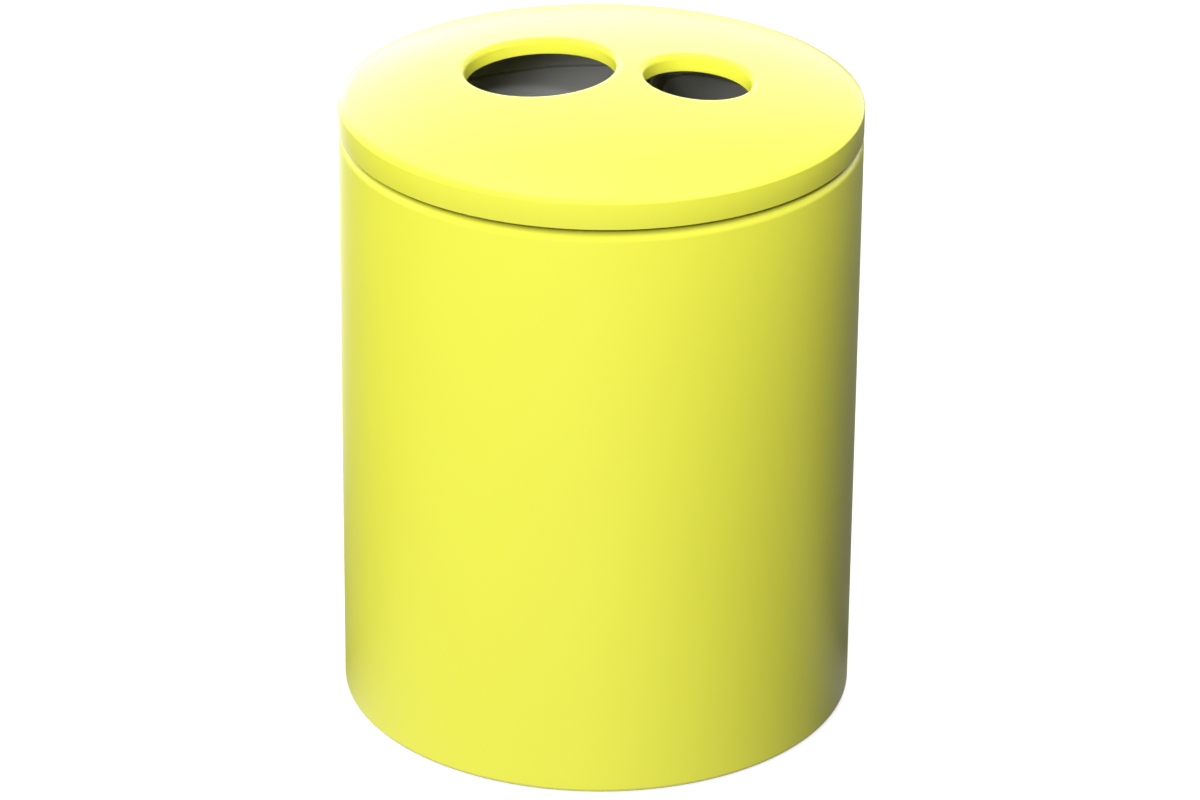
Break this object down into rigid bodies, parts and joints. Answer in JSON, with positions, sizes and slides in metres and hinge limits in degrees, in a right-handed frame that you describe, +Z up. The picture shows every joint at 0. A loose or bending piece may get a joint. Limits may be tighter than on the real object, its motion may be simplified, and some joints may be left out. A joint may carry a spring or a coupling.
{
  "type": "litter bin",
  "caption": "Round two-stream litter and recycling bin: yellow steel body, hinged domed lid with a large and a small round opening, and D-shaped lift-out liners with drop handles.",
  "frame": {"origin": "on the ground, under the middle of the bin", "axes": "+Z up, -Y front, +Y rear where the lid is hinged, +X along the row of openings from the large one to the small one"},
  "size_m": [0.61, 0.6199, 0.7963],
  "materials": {
    "powder_coat": "satin powder coat",
    "liner_plastic": "moulded, satin",
    "zinc_steel": "zinc plated",
    "stainless_steel": "brushed stainless",
    "rubber": "matte",
    "knob_plastic": "fine grained"
  },
  "bodies": {
    "bin": {"body_shell": "powder_coat", "base_plate": "zinc_steel", "ledge_ring": "zinc_steel", "divider_rail": "zinc_steel", "rail_brackets": "zinc_steel", "rail_screws": "zinc_steel", "rail_nuts": "zinc_steel", "large_liner": "liner_plastic", "small_liner": "liner_plastic", "large_liner_saddles": "stainless_steel", "small_liner_saddles": "stainless_steel", "saddle_screws": "stainless_steel", "body_hinge_leaf": "stainless_steel", "body_leaf_screws": "stainless_steel", "body_leaf_nuts": "stainless_steel", "hinge_pin": "stainless_steel", "pin_clip": "stainless_steel", "foot_nuts": "zinc_steel"},
    "lid": {"lid_shell": "powder_coat", "lid_ring": "zinc_steel", "lid_buffers": "rubber", "lid_hinge_leaf": "stainless_steel", "lid_leaf_screws": "stainless_steel", "lid_leaf_nuts": "stainless_steel", "latch_bracket": "zinc_steel", "latch_rivets": "zinc_steel"},
    "latch": {"latch_spindle": "stainless_steel", "latch_circlip": "stainless_steel", "latch_cam": "stainless_steel", "latch_screw": "stainless_steel", "latch_knob": "knob_plastic"},
    "large_end_handle": {"large_end_handle": "stainless_steel"},
    "large_inner_handle": {"large_inner_handle": "stainless_steel"},
    "small_inner_handle": {"small_inner_handle": "stainless_steel"},
    "small_end_handle": {"small_end_handle": "stainless_steel"},
    "front_left_foot": {"front_left_foot_pad": "rubber", "front_left_foot_stud": "zinc_steel"},
    "front_right_foot": {"front_right_foot_pad": "rubber", "front_right_foot_stud": "zinc_steel"},
    "rear_left_foot": {"rear_left_foot_pad": "rubber", "rear_left_foot_stud": "zinc_steel"},
    "rear_right_foot": {"rear_right_foot_pad": "rubber", "rear_right_foot_stud": "zinc_steel"}
  },
  "joints": [
    {"name": "lid_hinge", "type": "hinge", "parent": "bin", "child": "lid", "pos_m": [0, 0.31, 0.721], "axis": [-1, 0, 0], "range_deg": [0, 100]},
    {"name": "latch_turn", "type": "hinge", "parent": "lid", "child": "latch", "pos_m": [0, -0.262, 0.73], "axis": [0, 0, -1], "range_deg": [0, 90]},
    {"name": "large_end_handle_swing", "type": "hinge", "parent": "bin", "child": "large_end_handle", "pos_m": [-0.252, 0, 0.672], "axis": [0, -1, 0], "range_deg": [0, 180]},
    {"name": "large_inner_handle_swing", "type": "hinge", "parent": "bin", "child": "large_inner_handle", "pos_m": [0.007, 0, 0.672], "axis": [0, 1, 0], "range_deg": [0, 180]},
    {"name": "small_inner_handle_swing", "type": "hinge", "parent": "bin", "child": "small_inner_handle", "pos_m": [0.056, 0, 0.672], "axis": [0, -1, 0], "range_deg": [0, 180]},
    {"name": "small_end_handle_swing", "type": "hinge", "parent": "bin", "child": "small_end_handle", "pos_m": [0.252, 0, 0.672], "axis": [0, 1, 0], "range_deg": [0, 180]},
    {"name": "front_left_foot_height", "type": "slide", "parent": "bin", "child": "front_left_foot", "axis": [0, 0, -1], "range_m": [0, 0.015]},
    {"name": "front_right_foot_height", "type": "slide", "parent": "bin", "child": "front_right_foot", "axis": [0, 0, -1], "range_m": [0, 0.015]},
    {"name": "rear_left_foot_height", "type": "slide", "parent": "bin", "child": "rear_left_foot", "axis": [0, 0, -1], "range_m": [0, 0.015]},
    {"name": "rear_right_foot_height", "type": "slide", "parent": "bin", "child": "rear_right_foot", "axis": [0, 0, -1], "range_m": [0, 0.015]}
  ]
}
